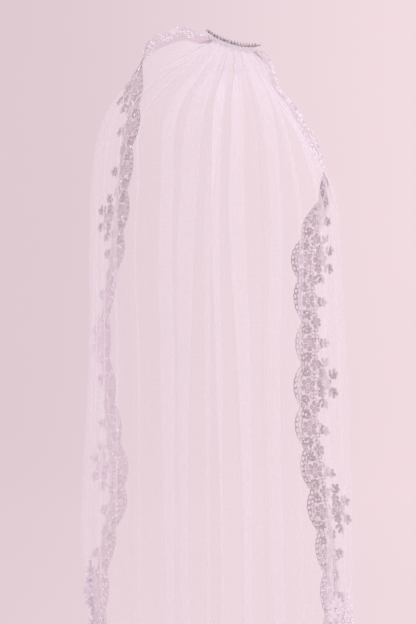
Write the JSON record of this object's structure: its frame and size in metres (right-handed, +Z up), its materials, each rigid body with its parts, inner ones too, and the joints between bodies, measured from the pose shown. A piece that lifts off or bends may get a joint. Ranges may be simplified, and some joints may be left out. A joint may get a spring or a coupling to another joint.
{
  "type": "lace-edged bridal veil on a wire comb",
  "caption": "One-tier bridal veil of sheer tulle with a scalloped lace border, gathered on a curved metal wire comb and draped over one shoulder.",
  "frame": {"origin": "the middle of the comb's spine, where the veil is pinned on", "axes": "+Z up, +X towards the wearer's front, -Y the side of the draped shoulder"},
  "size_m": [0.3575, 0.2252, 0.8523],
  "materials": {
    "tulle": "sheer fine-mesh tulle, soft and matte",
    "lace": "corded lace with satin thread and small sequins",
    "heading": "tulle bunched in close gathers and stitched",
    "comb_wire": "dark silver wire, soldered"
  },
  "bodies": {
    "root": {"tulle_back_fall": "tulle", "tulle_rear_side": "tulle", "tulle_fore_side": "tulle", "tulle_front_fall": "tulle", "lace_border_back": "lace", "lace_border_front": "lace", "lace_border_hem": "lace", "gathered_heading": "heading", "veil_comb": "comb_wire"}
  },
  "joints": []
}
